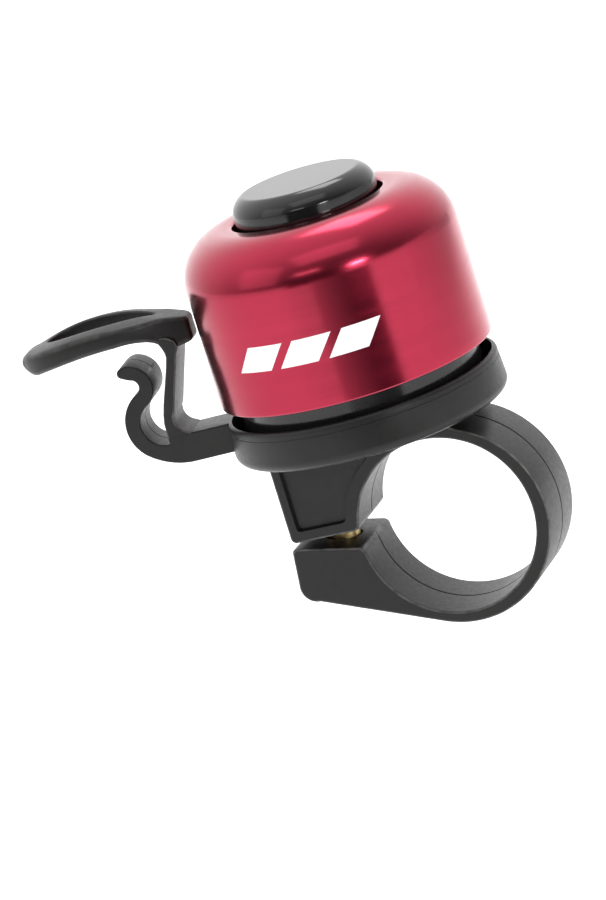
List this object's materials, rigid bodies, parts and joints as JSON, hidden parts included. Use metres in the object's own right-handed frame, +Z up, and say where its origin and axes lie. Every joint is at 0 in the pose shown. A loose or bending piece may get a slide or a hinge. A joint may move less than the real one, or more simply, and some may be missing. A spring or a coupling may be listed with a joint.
{
  "type": "bicycle bell",
  "caption": "Small handlebar bell: round-shouldered metal dome on a black cup, springy thumb lever with finger loop and striker, and a screw clamp for a 22.2 mm bar.",
  "frame": {"origin": "centre of the clamp's bore, on the handlebar's axis", "axes": "+Y along the handlebar, +Z up the bell's axis from clamp to dome, thumb lever on the -X side"},
  "size_m": [0.0603, 0.0346, 0.0573],
  "materials": {
    "anodised_dome": "polished, clear red anodised",
    "gloss_black_plastic": "gloss moulded",
    "satin_black_plastic": "satin moulded",
    "bush_rubber": "matt",
    "zinc_steel": "bright zinc plated",
    "yellow_zinc_steel": "yellow zinc plated"
  },
  "bodies": {
    "clamp": {"clamp_post": "satin_black_plastic", "clamp_nut": "yellow_zinc_steel", "dome_nut": "zinc_steel", "dome_screw": "zinc_steel"},
    "head": {"lever_ring": "satin_black_plastic", "lever_leaf": "satin_black_plastic", "base_cup": "gloss_black_plastic", "dome": "anodised_dome", "dome_bush": "bush_rubber", "dome_washer": "zinc_steel", "top_cap": "gloss_black_plastic"},
    "striker": {"thumb_lever": "satin_black_plastic"},
    "jaw": {"clamp_jaw": "satin_black_plastic"},
    "washer": {"clamp_washer": "yellow_zinc_steel"},
    "screw": {"clamp_screw": "yellow_zinc_steel"}
  },
  "joints": [
    {"name": "head_swivel", "type": "hinge", "parent": "clamp", "child": "head", "pos_m": [-0.00718, 0, 0.0131], "axis": [0, 0, 1], "continuous": true},
    {"name": "lever_flex", "type": "hinge", "parent": "head", "child": "striker", "pos_m": [-0.03038, -0.00219, 0.022], "axis": [-0.0941, 0.9956, 0], "range_deg": [-22, 7], "stiffness_Nm_per_rad": 0.3, "deforming": ["lever_leaf"]},
    {"name": "screw_travel", "type": "slide", "parent": "clamp", "child": "washer", "axis": [0, 0, -1], "range_m": [0, 0.0021]},
    {"name": "screw_turn", "type": "hinge", "parent": "washer", "child": "screw", "pos_m": [-0.0151, 0, -0.005], "axis": [0, 0, -1], "range_deg": [0, 1080]},
    {"name": "jaw_flex", "type": "hinge", "parent": "clamp", "child": "jaw", "pos_m": [0.01291, 0, -0.00017], "axis": [0, -1, 0], "range_deg": [0, 3.71]}
  ],
  "couplings": [
    {"joint": "screw_turn", "follows": "screw_travel", "rad_per_m": 8976},
    {"joint": "jaw_flex", "follows": "screw_travel", "rad_per_m": 30.769}
  ]
}
